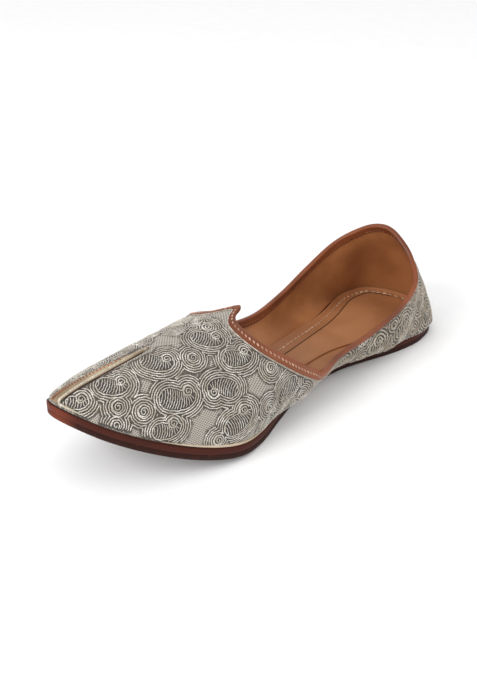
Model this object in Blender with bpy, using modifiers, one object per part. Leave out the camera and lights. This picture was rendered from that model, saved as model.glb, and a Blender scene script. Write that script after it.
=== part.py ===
"""Mojari: a slip-on leather shoe with an upturned toe, built for the left foot.

The shoe points along +X, its outer side is +Y and it stands on Z = 0.
Lengths are in metres.
"""
import math
from collections import namedtuple

import bpy
import numpy as np

MM = 0.001

# Driving sizes of the last and the sole
LENGTH = 285 * MM
BALL_WIDTH = 83 * MM
INSTEP_HEIGHT = 65 * MM
TOE_SPRING = 43 * MM
TOE_SWING = 16 * MM
HEEL_TILT = 4.5 * MM
HEEL_SWING = 2.2 * MM
ARCH_LIFT = 1.5 * MM
SOLE_THICKNESS = 7.6 * MM

# Thickness of the pieces and the room left between them
WALL = 1.4 * MM
GAP = 0.3 * MM
TOE_EXTRA_GAP = 0.65 * MM
BINDING_INNER_GAP = 0.4 * MM
BINDING_THICKNESS = 0.5 * MM
BINDING_ON_THROAT = 5.4 * MM
BINDING_ON_QUARTERS = 1.4 * MM
BINDING_INSIDE = 5 * MM
BEAK_SHORTENING = 0.8
INSOLE_THICKNESS = 2.8 * MM
INSOLE_LIP = 2 * MM
INSOLE_LIP_WIDTH = 4.5 * MM
INSOLE_FOOT = 1.2 * MM
INSOLE_FLARE = 8 * MM
INSOLE_HEEL_LEAN = 1.0 * MM
SOCK_THICKNESS = 1 * MM
SEAM_HEIGHT = 1.1 * MM
SEAM_HALF_WIDTH = 2.8 * MM

# How far each piece stands inside the outline of the sole
BALL_FEATHER_INSET = 1.0 * MM
HEEL_FEATHER_INSET = -1.6 * MM
INSOLE_TOE_INSET = 14 * MM
SOCK_INSET = 8.5 * MM
SOCK_SHIFT = 3 * MM

# Where the sole leaves the floor, as shares of the length
HEEL_FLAT_END = 0.22
BALL_FLAT_START = 0.50
SPRING_START = 0.62
SWING_START = 0.45

# Ranges over which a size changes, as shares from heel to toe
FEATHER_CHANGE = (0.155, 0.25)
HEEL_TILT_FADE = (0.13, 0.30)
HEEL_SWING_FADE = (0.14, 0.36)
TOE_GAP_CHANGE = (0.70, 0.85)
INSOLE_TOE_CHANGE = (0.78, 1.00)
FLARE_START = (0.25, 0.38)
FLARE_END = (0.45, 0.56)
BEAK_CHANGE = (0.84, 0.92)
BINDING_CHANGE = (0.40, 0.52)

# Mesh steps
SIDE_STEPS = 46
LINE_STEPS = 12
CROWDING = 0.5

# Fine steps for measuring curves
OUTLINE_SAMPLES = 400
LINE_SAMPLES = 41
OUTLINE_PROBE = 0.008
SURFACE_PROBE = 0.004
END_PROBE = 0.02

# Half of the sole's outline from heel to toe.
# along is a share of the length, out a share of half the ball width.
OutlineRow = namedtuple("OutlineRow", "along out")
OUTLINE = [
    OutlineRow(0.000, 0.00),
    OutlineRow(0.030, 0.61),
    OutlineRow(0.095, 0.785),
    OutlineRow(0.170, 0.75),
    OutlineRow(0.270, 0.59),
    OutlineRow(0.370, 0.485),
    OutlineRow(0.465, 0.49),
    OutlineRow(0.560, 0.67),
    OutlineRow(0.650, 0.90),
    OutlineRow(0.720, 1.00),
    OutlineRow(0.800, 0.91),
    OutlineRow(0.900, 0.67),
    OutlineRow(0.965, 0.43),
    OutlineRow(1.000, 0.00),
]

# Section lines of the upper, each from the feather edge to the opening.
# foot is a share of the half outline's run, along a share of the length,
# out a share of half the ball width and up a share of the instep height.
UpperLine = namedtuple(
    "UpperLine",
    "foot shoulder_along shoulder_out shoulder_up edge_along edge_out edge_up",
)
UPPER = [
    UpperLine(0.000, -0.008, 0.00, 0.42, 0.093, 0.00, 1.07),
    UpperLine(0.055, 0.010, 0.40, 0.42, 0.098, 0.26, 1.03),
    UpperLine(0.105, 0.050, 0.68, 0.40, 0.107, 0.54, 0.91),
    UpperLine(0.175, 0.135, 0.85, 0.18, 0.143, 0.82, 0.75),
    UpperLine(0.250, 0.225, 1.06, 0.07, 0.223, 0.915, 0.59),
    UpperLine(0.330, 0.310, 0.95, 0.09, 0.317, 0.875, 0.476),
    UpperLine(0.410, 0.400, 0.77, 0.15, 0.410, 0.84, 0.42),
    UpperLine(0.480, 0.475, 0.88, 0.17, 0.484, 0.95, 0.415),
    UpperLine(0.540, 0.540, 1.12, 0.20, 0.517, 0.92, 0.50),
    UpperLine(0.610, 0.600, 1.10, 0.34, 0.551, 0.88, 0.61),
    UpperLine(0.675, 0.660, 1.13, 0.50, 0.588, 0.79, 0.74),
    UpperLine(0.740, 0.730, 1.02, 0.69, 0.614, 0.60, 0.84),
    UpperLine(0.820, 0.815, 0.75, 0.85, 0.625, 0.37, 0.92),
    UpperLine(0.895, 0.900, 0.47, 0.95, 0.623, 0.20, 0.965),
    UpperLine(0.950, 0.962, 0.22, 0.965, 0.608, 0.10, 0.99),
    UpperLine(1.000, 0.990, 0.00, 0.97, 0.583, 0.00, 1.00),
]
SHOULDER_PULL = 0.6

# The raised toe seam, as shares of the toe line from feather to throat
SEAM_START = 0.05
SEAM_END = 0.66
SEAM_STEPS = 18
SEAM_TIP_HALF_WIDTH = 0.35 * MM
SEAM_COLUMNS = (-1.0, -0.4, 0.4, 1.0)
TOE_SEARCH_START = 0.8


def clear_scene():
    for old in list(bpy.data.objects):
        bpy.data.objects.remove(old, do_unlink=True)


def catmull(points, position):
    """Point on a smooth curve through evenly numbered points."""
    last = len(points) - 3
    start = min(int(position), last - 1)
    part = position - start
    before, first, second, after = points[start:start + 4]
    return 0.5 * (
        2 * first
        + (second - before) * part
        + (2 * before - 5 * first + 4 * second - after) * part ** 2
        + (3 * first - before - 3 * second + after) * part ** 3
    )


def mirrored_ends(points, signs):
    """Rows with one mirrored row added at each end."""
    points = np.array(points, dtype=float)
    return np.vstack([points[1] * signs, points, points[-2] * signs])


def half_outline():
    """Finely stepped half outline and its run as a share of the whole."""
    rows = [(row.along * LENGTH, row.out * BALL_WIDTH / 2) for row in OUTLINE]
    before = np.array([rows[1][0], -rows[1][1]])
    after = np.array([rows[-2][0], -rows[-2][1]])
    points = np.vstack([before, rows, after])
    steps = np.linspace(0, len(rows) - 1, OUTLINE_SAMPLES)
    curve = np.array([catmull(points, step) for step in steps])
    run = np.concatenate([[0], np.cumsum(np.linalg.norm(np.diff(curve, axis=0), axis=1))])
    return curve, run / run[-1]


HALF_CURVE, HALF_RUN = half_outline()


def outline_point(share, inset):
    """Point of the half outline at a share of its run, moved inward."""
    def curve_point(at):
        return np.array([np.interp(at, HALF_RUN, HALF_CURVE[:, axis]) for axis in (0, 1)])
    along, out = curve_point(share)
    low = max(share - OUTLINE_PROBE, 0.0)
    high = min(share + OUTLINE_PROBE, 1.0)
    run_along, run_out = curve_point(high) - curve_point(low)
    if share in (0.0, 1.0):
        run_along = 0.0
    run_length = math.hypot(run_along, run_out)
    return along + inset * run_out / run_length, out - inset * run_along / run_length


def smooth_step(share, change):
    """Rise from 0 to 1 with soft ends over a range of shares."""
    start, end = change
    part = min(max((share - start) / (end - start), 0.0), 1.0)
    return part * part * (3 - 2 * part)


def sole_bottom(along):
    """Height of the sole's underside: flat heel, low arch, flat ball, raised toe."""
    share = along / LENGTH
    arch = min(max((share - HEEL_FLAT_END) / (BALL_FLAT_START - HEEL_FLAT_END), 0.0), 1.0)
    toe = max((share - SPRING_START) / (1 - SPRING_START), 0.0)
    return ARCH_LIFT * math.sin(math.pi * arch) ** 2 + TOE_SPRING * toe ** 2


def swing(along):
    """Sideways curve of the shoe's middle line toward the inner side."""
    toe = max((along / LENGTH - SWING_START) / (1 - SWING_START), 0.0)
    return -TOE_SWING * toe ** 2


def heel_swing(along):
    """Sideways step of the sole's heel toward the outer side."""
    return HEEL_SWING * (1 - smooth_step(along / LENGTH, HEEL_SWING_FADE))


def place(along, out, up):
    """Point of the shoe from its place along the foot, off its middle line and up."""
    return np.array([along, out + swing(along), up])


def crowded(step, steps):
    """Share of a step, with the steps closer together at both ends."""
    turn = 2 * math.pi
    return step / steps - CROWDING * math.sin(turn * step / steps) / turn


def around(point_of_share):
    """Closed loop of points: outer side from heel to toe, then inner side back."""
    loop = []
    for step in range(SIDE_STEPS + 1):
        loop.append(point_of_share(crowded(step, SIDE_STEPS), 1))
    for step in range(SIDE_STEPS - 1, 0, -1):
        loop.append(point_of_share(crowded(step, SIDE_STEPS), -1))
    return loop


def outline_loop(inset_of_place, height):
    """Loop that follows the sole's outline at a height above its underside."""
    def point(share, side):
        along, out = outline_point(share, inset_of_place(share, side))
        return place(along, side * out + heel_swing(along), sole_bottom(along) + height)
    return around(point)


def loft_faces(loops, count):
    """Quads between neighbouring loops of equal length."""
    faces = []
    for row in range(loops - 1):
        for step in range(count):
            following = (step + 1) % count
            faces.append((
                row * count + step,
                (row + 1) * count + step,
                (row + 1) * count + following,
                row * count + following,
            ))
    return faces


def cap_faces(first, count, flip):
    """Faces that close a loop by joining each outer point to the inner one across."""
    faces = []
    half = count // 2
    for step in range(half):
        outer = (step, step + 1)
        inner = ((count - step - 1) % count, (count - step) % count)
        corners = [outer[0], outer[1], inner[0], inner[1]]
        corners = [first + corner for corner in dict.fromkeys(corners)]
        faces.append(tuple(reversed(corners)) if flip else tuple(corners))
    return faces


def new_material(name, colour, roughness):
    material = bpy.data.materials.new(name)
    material.use_nodes = True
    shader = material.node_tree.nodes["Principled BSDF"]
    shader.inputs["Base Color"].default_value = (*colour, 1.0)
    shader.inputs["Roughness"].default_value = roughness
    return material


def new_object(name, points, faces, material, collection):
    mesh = bpy.data.meshes.new(name)
    mesh.from_pydata([tuple(point) for point in points], [], faces)
    mesh.materials.append(material)
    piece = bpy.data.objects.new(name, mesh)
    collection.objects.link(piece)
    return piece


def add_solidify(piece, thickness, offset):
    solidify = piece.modifiers.new("Wall", "SOLIDIFY")
    solidify.thickness = thickness
    solidify.offset = offset


def plate(name, rings, material, collection):
    """Closed solid from rings of (inset by share and side, height), lowest first."""
    loops = [outline_loop(inset, height) for inset, height in rings]
    count = len(loops[0])
    points = [point for loop in loops for point in loop]
    faces = loft_faces(len(loops), count)
    faces += cap_faces(0, count, False)
    faces += cap_faces((len(loops) - 1) * count, count, True)
    return new_object(name, points, faces, material, collection)


def feather_inset(share):
    """Inset of the upper's lower edge: over the sole at the heel, inside it at the ball."""
    forward = smooth_step(share, FEATHER_CHANGE)
    return HEEL_FEATHER_INSET + (BALL_FEATHER_INSET - HEEL_FEATHER_INSET) * forward


UPPER_SIGNS = np.array([1, 1, -1, 1, 1, -1, 1])
UPPER_ROWS = mirrored_ends(UPPER, UPPER_SIGNS)


def upper_line(share):
    """Smoothed row of the upper's table, share 0 at the heel and 1 at the toe."""
    values = catmull(UPPER_ROWS, share * (len(UPPER) - 1))
    return UpperLine(*values)


def outer_drop(share, edge_out):
    """How much lower the heel's edge is cut on the outer side, to clear the ankle."""
    return HEEL_TILT * edge_out * (1 - smooth_step(share, HEEL_TILT_FADE))


def upper_point(share, side, rise):
    """Point on the outside of the upper, rise 0 at the feather and 1 at the opening."""
    line = upper_line(share)
    foot = min(max(line.foot, 0.0), 1.0)
    if share in (0.0, 1.0):
        foot = share
    half_width = BALL_WIDTH / 2
    foot_along, foot_out = outline_point(foot, feather_inset(foot))
    toe = smooth_step(foot, TOE_GAP_CHANGE)
    foot_up = sole_bottom(foot_along) + SOLE_THICKNESS + GAP + TOE_EXTRA_GAP * toe
    start = np.array([foot_along, foot_out + side * heel_swing(foot_along), foot_up])
    shoulder = np.array([
        line.shoulder_along * LENGTH,
        line.shoulder_out * half_width,
        line.shoulder_up * INSTEP_HEIGHT,
    ])
    end = np.array([
        line.edge_along * LENGTH,
        line.edge_out * half_width,
        line.edge_up * INSTEP_HEIGHT - side * outer_drop(share, line.edge_out),
    ])
    lower_pull = start + SHOULDER_PULL * (shoulder - start)
    upper_pull = end + SHOULDER_PULL * (shoulder - end)
    rest = 1 - rise
    along, out, up = (
        rest ** 3 * start
        + 3 * rest ** 2 * rise * lower_pull
        + 3 * rest * rise ** 2 * upper_pull
        + rise ** 3 * end
    )
    return place(along, side * out, up)


def upper_frame(share, side, rise):
    """Point on the upper with its outward normal and its direction of rise."""
    low_share, high_share = max(share - SURFACE_PROBE, 0.0), min(share + SURFACE_PROBE, 1.0)
    low_rise, high_rise = max(rise - SURFACE_PROBE, 0.0), min(rise + SURFACE_PROBE, 1.0)
    climb = upper_point(share, side, high_rise) - upper_point(share, side, low_rise)
    if share in (0.0, 1.0):
        near = abs(share - END_PROBE)
        travel = upper_point(near, side, rise) - upper_point(near, -side, rise)
        if share == 1.0:
            travel = -travel
    else:
        travel = upper_point(high_share, side, rise) - upper_point(low_share, side, rise)
    normal = np.cross(climb, travel) * side
    return (
        upper_point(share, side, rise),
        normal / np.linalg.norm(normal),
        climb / np.linalg.norm(climb),
    )


def line_run(share, side):
    """Rises along one section line with the run of the line up to each."""
    rises = np.linspace(0, 1, LINE_SAMPLES)
    points = np.array([upper_point(share, side, rise) for rise in rises])
    run = np.concatenate([[0], np.cumsum(np.linalg.norm(np.diff(points, axis=0), axis=1))])
    return rises, run


def rise_below_edge(share, side, depth):
    """Rise of the point that lies a given distance below the opening's edge."""
    rises, run = line_run(share, side)
    return float(np.interp(run[-1] - depth, run, rises))


def make_outsole(collection):
    """Leather sole with a rounded lower edge and a groove around its side."""
    leather = new_material("outsole leather", (0.10, 0.04, 0.028), 0.6)
    edge_rounding = 0.9 * MM
    top_chamfer = 0.45 * MM
    groove_depth = 0.35 * MM
    groove_low = 3.4 * MM
    groove_high = 3.9 * MM

    def level(inset):
        return lambda share, side: inset
    rings = []
    for turn in (0, math.pi / 4, math.pi / 2):
        rings.append((level(edge_rounding * (1 - math.sin(turn))), edge_rounding * (1 - math.cos(turn))))
    rings += [
        (level(0.0), groove_low),
        (level(groove_depth), (groove_low + groove_high) / 2),
        (level(0.0), groove_high),
        (level(0.0), SOLE_THICKNESS - top_chamfer),
        (level(top_chamfer), SOLE_THICKNESS),
    ]
    return plate("outsole", rings, leather, collection)


def insole_inset(share):
    """Inset of the insole, drawn back at the toe where the upper closes down."""
    toe = smooth_step(share, INSOLE_TOE_CHANGE)
    return feather_inset(share) + WALL + 2 * GAP + INSOLE_TOE_INSET * toe


def insole_flare(share, side):
    """How far the insole's border leans past its foot: out at the outer waist, in at the heel."""
    forward = smooth_step(share, FLARE_START)
    spread = INSOLE_FLARE * (forward - smooth_step(share, FLARE_END)) if side > 0 else 0.0
    return spread - INSOLE_HEEL_LEAN * (1 - forward)


def make_insole(collection):
    """Insole board with its leather border, cupped up along the wall."""
    leather = new_material("insole leather", (0.36, 0.17, 0.09), 0.55)
    base = SOLE_THICKNESS + GAP
    top = base + INSOLE_THICKNESS
    rounding = 0.8 * MM

    def edge(distance):
        return lambda share, side: insole_inset(share) + distance

    def lip(distance):
        return lambda share, side: insole_inset(share) - insole_flare(share, side) + distance
    rings = [
        (edge(0.0), base),
        (edge(0.0), base + INSOLE_FOOT),
        (lip(0.0), top + INSOLE_LIP - rounding),
        (lip(rounding), top + INSOLE_LIP),
        (edge(INSOLE_LIP_WIDTH), top),
    ]
    return plate("insole", rings, leather, collection)


def make_sock(collection):
    """Padded cover over the middle of the insole, nearer the outer side at the waist."""
    leather = new_material("sock leather", (0.42, 0.21, 0.11), 0.5)
    base = SOLE_THICKNESS + INSOLE_THICKNESS + 2 * GAP
    rounding = 0.7 * MM

    def edge(distance):
        def inset(share, side):
            shift = side * SOCK_SHIFT * math.sin(math.pi * share)
            return insole_inset(share) + SOCK_INSET - shift + distance
        return inset
    rings = [
        (edge(0.0), base),
        (edge(0.0), base + SOCK_THICKNESS - rounding),
        (edge(rounding), base + SOCK_THICKNESS),
    ]
    return plate("sock", rings, leather, collection)


def make_upper(collection):
    """Hollow upper: one lasted wall, open at the collar, the throat and underneath."""
    brocade = new_material("brocade", (0.42, 0.40, 0.36), 0.65)

    def wall_point(rise, depth):
        def point(share, side):
            base, normal, climb = upper_frame(share, side, rise)
            return base - normal * depth
        return point
    rises = [crowded(step, LINE_STEPS) for step in range(LINE_STEPS + 1)]
    outside = [around(wall_point(rise, 0.0)) for rise in rises]
    inside = [around(wall_point(rise, WALL)) for rise in reversed(rises)]
    loops = outside + inside + outside[:1]
    count = len(loops[0])
    rows = len(loops) - 1
    points = [point for loop in loops[:rows] for point in loop]
    faces = [
        tuple(corner % len(points) for corner in face)
        for face in loft_faces(len(loops), count)
    ]
    return new_object("upper", points, faces, brocade, collection)


def binding_depth(share, inside):
    """Width of the folded strip: narrow outside on the quarters, short inside under the beak."""
    if inside:
        return BINDING_INSIDE * (1 - BEAK_SHORTENING * smooth_step(share, BEAK_CHANGE))
    forward = smooth_step(share, BINDING_CHANGE)
    return BINDING_ON_QUARTERS + (BINDING_ON_THROAT - BINDING_ON_QUARTERS) * forward


def make_binding(collection):
    """Leather strip folded over the edge of the collar and the throat."""
    leather = new_material("binding leather", (0.33, 0.14, 0.07), 0.5)
    inner_face = WALL + BINDING_INNER_GAP
    fold_corner = 0.15 * WALL

    def fold_point(depth_share, offset, lift):
        def point(share, side):
            depth = depth_share * binding_depth(share, offset < 0)
            rise = rise_below_edge(share, side, depth)
            base, normal, climb = upper_frame(share, side, rise)
            return base + normal * offset + climb * lift
        return point
    fold = [
        fold_point(1.0, GAP, 0.0),
        fold_point(0.5, GAP, 0.0),
        fold_point(0.0, GAP, 0.0),
        fold_point(0.0, -fold_corner, GAP),
        fold_point(0.0, fold_corner - WALL, GAP),
        fold_point(0.0, -inner_face, 0.0),
        fold_point(0.5, -inner_face, 0.0),
        fold_point(1.0, -inner_face, 0.0),
    ]
    loops = [around(point) for point in fold]
    count = len(loops[0])
    points = [point for loop in loops for point in loop]
    binding = new_object("collar_binding", points, loft_faces(len(loops), count), leather, collection)
    add_solidify(binding, BINDING_THICKNESS, 1)
    return binding


def share_beside_toe(rise, side, distance):
    """Share of the section line that passes at a distance beside the toe line."""
    middle = upper_point(1.0, side, rise)
    shares = np.linspace(1.0, TOE_SEARCH_START, LINE_SAMPLES)
    distances = [np.linalg.norm(upper_point(share, side, rise) - middle) for share in shares]
    return float(np.interp(distance, distances, shares))


def make_toe_seam(collection):
    """Raised seam strip from the toe's tip up the middle of the vamp."""
    leather = new_material("seam leather", (0.45, 0.36, 0.27), 0.6)
    points = []
    for step in range(SEAM_STEPS + 1):
        part = step / SEAM_STEPS
        rise = SEAM_START + (SEAM_END - SEAM_START) * part
        half_width = SEAM_HALF_WIDTH * (1 - part ** 3) + SEAM_TIP_HALF_WIDTH
        for column in SEAM_COLUMNS:
            side = 1 if column >= 0 else -1
            share = share_beside_toe(rise, side, half_width * abs(column))
            base, normal, climb = upper_frame(share, side, rise)
            points.append(base + normal * GAP)
    columns = len(SEAM_COLUMNS)
    faces = []
    for step in range(SEAM_STEPS):
        for column in range(columns - 1):
            corner = step * columns + column
            faces.append((corner, corner + 1, corner + columns + 1, corner + columns))
    seam = new_object("toe_seam", points, faces, leather, collection)
    add_solidify(seam, SEAM_HEIGHT, 1)
    return seam


def centre_on_floor(pieces):
    """Move the shoe so that the middle of its box stands at the origin."""
    bpy.context.view_layer.update()
    depsgraph = bpy.context.evaluated_depsgraph_get()
    corners = []
    for piece in pieces:
        shape = piece.evaluated_get(depsgraph).to_mesh()
        corners += [np.array(vertex.co) for vertex in shape.vertices]
    low, high = np.min(corners, axis=0), np.max(corners, axis=0)
    shift = np.array([(low[0] + high[0]) / 2, (low[1] + high[1]) / 2, low[2]])
    for piece in pieces:
        for vertex in piece.data.vertices:
            vertex.co = np.array(vertex.co) - shift


def build():
    clear_scene()
    collection = bpy.data.collections.new("mojari")
    bpy.context.scene.collection.children.link(collection)
    pieces = [
        make_outsole(collection),
        make_insole(collection),
        make_sock(collection),
        make_upper(collection),
        make_binding(collection),
        make_toe_seam(collection),
    ]
    centre_on_floor(pieces)


build()
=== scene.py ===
"""Looks of the left mojari: silver brocade upper, tan leather lining and binding, brown sole.

Every piece is worked out from the same last as the solids, so the last's sizes and tables
are stated here again. Lengths are in metres. The shoe points along +X and its outer side
is +Y.
"""

import math
from collections import namedtuple

import bpy
import numpy as np
from mathutils import Matrix, Vector
from mathutils.bvhtree import BVHTree
from mathutils.kdtree import KDTree


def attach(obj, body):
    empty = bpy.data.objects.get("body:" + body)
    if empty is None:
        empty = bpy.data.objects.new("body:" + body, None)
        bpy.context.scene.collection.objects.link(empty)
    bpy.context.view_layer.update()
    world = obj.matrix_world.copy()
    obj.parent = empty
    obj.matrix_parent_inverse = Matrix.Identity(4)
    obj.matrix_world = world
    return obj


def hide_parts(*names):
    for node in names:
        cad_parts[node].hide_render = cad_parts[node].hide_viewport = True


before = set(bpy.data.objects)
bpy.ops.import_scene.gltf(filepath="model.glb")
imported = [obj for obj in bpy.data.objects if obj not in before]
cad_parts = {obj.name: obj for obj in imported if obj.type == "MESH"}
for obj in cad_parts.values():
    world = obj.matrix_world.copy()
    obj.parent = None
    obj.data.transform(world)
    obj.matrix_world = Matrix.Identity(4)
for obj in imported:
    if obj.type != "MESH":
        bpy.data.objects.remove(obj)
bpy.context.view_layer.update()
MM = 0.001
UP = np.array([0, 0, 1.0])

# Sizes of the last and the sole
LENGTH = 285 * MM
BALL_WIDTH = 83 * MM
INSTEP_HEIGHT = 65 * MM
TOE_SPRING = 43 * MM
TOE_SWING = 16 * MM
HEEL_TILT = 4.5 * MM
HEEL_SWING = 2.2 * MM
ARCH_LIFT = 1.5 * MM
SOLE_THICKNESS = 7.6 * MM

# Thickness of the pieces and the room between them
WALL = 1.4 * MM
GAP = 0.3 * MM
TOE_EXTRA_GAP = 0.65 * MM
BINDING_INNER_GAP = 0.4 * MM
BINDING_THICKNESS = 0.5 * MM
BINDING_ON_THROAT = 5.4 * MM
BINDING_ON_QUARTERS = 1.4 * MM
BINDING_INSIDE = 5 * MM
BEAK_SHORTENING = 0.8
INSOLE_THICKNESS = 2.8 * MM
INSOLE_LIP = 2 * MM
INSOLE_LIP_WIDTH = 4.5 * MM
INSOLE_FOOT = 1.2 * MM
INSOLE_FLARE = 8 * MM
INSOLE_HEEL_LEAN = 1.0 * MM
INSOLE_ROUNDING = 0.8 * MM
SOCK_THICKNESS = 1 * MM
SEAM_HEIGHT = 1.1 * MM
SEAM_HALF_WIDTH = 2.8 * MM
SEAM_TIP_HALF_WIDTH = 0.35 * MM

# How far each piece stands inside the outline of the sole
BALL_FEATHER_INSET = 1.0 * MM
HEEL_FEATHER_INSET = -1.6 * MM
INSOLE_TOE_INSET = 14 * MM
SOCK_INSET = 8.5 * MM
SOCK_SHIFT = 3 * MM

# Places along the shoe, as shares from heel to toe
HEEL_FLAT_END = 0.22
BALL_FLAT_START = 0.50
SPRING_START = 0.62
SWING_START = 0.45
FEATHER_CHANGE = (0.155, 0.25)
HEEL_TILT_FADE = (0.13, 0.30)
HEEL_SWING_FADE = (0.14, 0.36)
TOE_GAP_CHANGE = (0.70, 0.85)
INSOLE_TOE_CHANGE = (0.78, 1.00)
FLARE_START = (0.25, 0.38)
FLARE_END = (0.45, 0.56)
BEAK_CHANGE = (0.84, 0.92)
BINDING_CHANGE = (0.40, 0.52)
TIP_LIGHTENING = (0.980, 0.998)
HEEL_STITCH_FADE = (0.08, 0.16)
SIDE_SEAM = 0.465
SEAM_START = 0.05
SEAM_END = 0.66

# Mesh steps and the fine steps that measure curves
CROWDING = 0.5
UPPER_STEPS = 300
UPPER_RISES = 76
LINING_RISES = 26
BINDING_STEPS = 220
PLATE_STEPS = 160
OUTLINE_SAMPLES = 400
LINE_SAMPLES = 61
OUTLINE_PROBE = 0.008
SURFACE_PROBE = 0.004
END_PROBE = 0.02
SEARCH_STEPS = 150
SEAM_SAMPLES = 80
CREASE_SAMPLES = 30
STITCH_ROW_SAMPLES = 900
BORDER_SAMPLES = 700
SEAM_LINE_SAMPLES = 400
RIM_SAMPLES = 300
CORD_SAMPLES = 260
HEM_STEPS = 160
SOCK_COLUMNS = 24

# Half of the sole's outline: shares of the length and of half the ball width
OutlineRow = namedtuple("OutlineRow", "along out")
OUTLINE = [OutlineRow(*row) for row in (
    (0.000, 0.00),
    (0.030, 0.61),
    (0.095, 0.785),
    (0.170, 0.75),
    (0.270, 0.59),
    (0.370, 0.485),
    (0.465, 0.49),
    (0.560, 0.67),
    (0.650, 0.90),
    (0.720, 1.00),
    (0.800, 0.91),
    (0.900, 0.67),
    (0.965, 0.43),
    (1.000, 0.00),
)]

# Section lines of the upper from the feather edge to the opening, heel first.
# foot is a share of the half outline's run, along a share of the length,
# out a share of half the ball width and up a share of the instep height.
UpperLine = namedtuple(
    "UpperLine",
    "foot shoulder_along shoulder_out shoulder_up edge_along edge_out edge_up",
)
UPPER = [UpperLine(*row) for row in (
    (0.000, -0.008, 0.00, 0.42, 0.093, 0.00, 1.07),
    (0.055, 0.010, 0.40, 0.42, 0.098, 0.26, 1.03),
    (0.105, 0.050, 0.68, 0.40, 0.107, 0.54, 0.91),
    (0.175, 0.135, 0.85, 0.18, 0.143, 0.82, 0.75),
    (0.250, 0.225, 1.06, 0.07, 0.223, 0.915, 0.59),
    (0.330, 0.310, 0.95, 0.09, 0.317, 0.875, 0.476),
    (0.410, 0.400, 0.77, 0.15, 0.410, 0.84, 0.42),
    (0.480, 0.475, 0.88, 0.17, 0.484, 0.95, 0.415),
    (0.540, 0.540, 1.12, 0.20, 0.517, 0.92, 0.50),
    (0.610, 0.600, 1.10, 0.34, 0.551, 0.88, 0.61),
    (0.675, 0.660, 1.13, 0.50, 0.588, 0.79, 0.74),
    (0.740, 0.730, 1.02, 0.69, 0.614, 0.60, 0.84),
    (0.820, 0.815, 0.75, 0.85, 0.625, 0.37, 0.92),
    (0.895, 0.900, 0.47, 0.95, 0.623, 0.20, 0.965),
    (0.950, 0.962, 0.22, 0.965, 0.608, 0.10, 0.99),
    (1.000, 0.990, 0.00, 0.97, 0.583, 0.00, 1.00),
)]
SHOULDER_PULL = 0.6

# Paisley motifs of one side of the upper, mirrored to the other side.
# turn is the angle in degrees from the rise toward the toe, length is in mm.
Motif = namedtuple("Motif", "share rise turn length")
MOTIFS = [Motif(*row) for row in (
    (0.815, 0.365, -68, 16.0),
    (0.772, 0.540, 103, 14.0),
    (0.763, 0.790, -55, 14.0),
    (0.625, 0.620, 136, 15.0),
    (0.715, 0.265, -48, 15.5),
    (0.860, 0.830, -62, 14.0),
    (0.900, 0.600, -60, 14.0),
    (0.925, 0.375, -57, 13.0),
    (0.950, 0.160, -60, 9.0),
    (0.812, 0.110, -78, 12.5),
    (0.570, 0.300, -62, 11.0),
    (0.250, 0.700, -80, 13.5),
    (0.170, 0.620, -75, 13.0),
    (0.150, 0.230, -85, 12.5),
    (0.070, 0.520, -70, 14.0),
    (0.315, 0.720, -84, 11.5),
    (0.385, 0.740, -88, 9.5),
)]

# Small spiral scrolls between the motifs, radius in mm
Scroll = namedtuple("Scroll", "share rise radius")
SCROLLS = [Scroll(*row) for row in (
    (0.890, 0.230, 3.4),
    (0.852, 0.235, 3.3),
    (0.660, 0.420, 3.4),
    (0.560, 0.560, 3.2),
    (0.640, 0.140, 3.2),
    (0.745, 0.075, 3.0),
    (0.945, 0.880, 3.2),
    (0.690, 0.820, 3.0),
    (0.850, 0.690, 2.8),
    (0.880, 0.060, 2.8),
    (0.285, 0.400, 3.0),
    (0.105, 0.760, 3.6),
    (0.060, 0.180, 3.4),
    (0.210, 0.330, 3.2),
    (0.022, 0.360, 3.6),
    (0.020, 0.800, 3.6),
    (0.350, 0.600, 3.2),
    (0.435, 0.720, 3.0),
    (0.212, 0.870, 3.0),
    (0.282, 0.880, 2.8),
)]

# Drawing of the motifs in their own flat frame: lengths in mm, and shares of a motif's size
BODY_WIDTH_SHARE = 0.36
MOTIF_CENTRE = 0.36
VAMP_PITCH = 1.3
QUARTER_PITCH = 2.0
RING_REACH = 5.5
CURL_IN_PITCHES = 2.4
CURL_EYE = 0.4
THREAD_IN_PITCHES = 0.25
RUNG_IN_PITCHES = 0.19
WOBBLE = 0.13
TIP_TURN = math.radians(110)
TIP_TURN_POWER = 2.6
RUNG_START = 0.8
RUNG_END = 0.82
RUNG_BOW = 0.18
RUNG_MARGIN = 0.75
SHORTEST_RUNG = 0.6
SPINE_SAMPLES = 26
BODY_SAMPLES = 40
ROUND_END_SAMPLES = 24
RUNG_SAMPLES = 120
CURL_SAMPLES = 30
MOST_STRETCH = 1.6
TINY = 1e-9

# Offsets that mark the lines inside a motif, and how near another line may come, in mm
CURL_OFFSET = -0.3
RUNG_OFFSET = -0.4
OTHER_MARGIN = 0.15
OWN_MARGIN = 0.45
FIELD_LIMIT = 9.0

# Threads and padding on the cloth, and the room they leave at its edges
THREAD_LIFT = -0.06 * MM
STITCH_LENGTH = 1.3 * MM
ONE_STITCH = 1.0
TWIST_PITCH = 1.2 * MM
MOTIF_REACH = 26 * MM
PADDING = 0.25 * MM
PADDING_FADE = (-0.8, 0.7)
RELIEF_START = (0.0, 0.06)
RELIEF_END = (0.80, 0.90)
COVER_FADE = (1.0 * MM, 1.6 * MM)
WEAVE_PITCH = 1.75
WEAVE_CROWN = 8 * MM
ROOM_AT_FEATHER = 1.3 * MM
ROOM_AT_BINDING = 1.2 * MM
ROOM_AT_TOE_SEAM = 1.0 * MM
ROOM_AT_SIDE_SEAM = 0.008

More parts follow.
